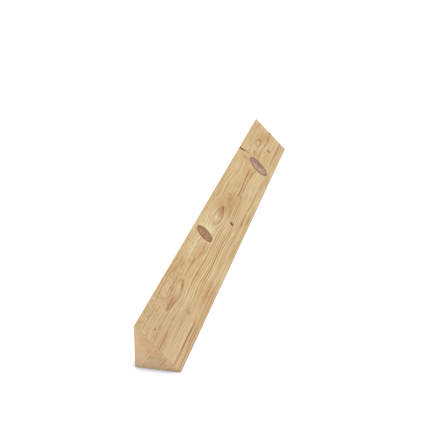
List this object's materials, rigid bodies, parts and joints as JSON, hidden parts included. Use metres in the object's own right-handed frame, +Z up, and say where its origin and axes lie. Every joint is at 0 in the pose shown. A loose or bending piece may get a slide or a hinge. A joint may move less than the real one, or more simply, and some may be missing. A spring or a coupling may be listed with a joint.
{
  "type": "triangular timber batten",
  "caption": "Right-angled triangular softwood batten, a square timber ripped from corner to corner, for rails, fillets and corner bracing.",
  "frame": {"origin": "on the floor, under the middle of the batten's length and width", "axes": "+X from the back face towards the foot of the sloping face, +Y along the length, away from the end that the picture shows, +Z up"},
  "size_m": [0.0712, 1, 0.0712],
  "materials": {
    "pine": "planed bare pine with growth rings, brown and purple-brown knots, and sawn pinkish ends"
  },
  "bodies": {
    "root": {"batten": "pine"}
  },
  "joints": []
}
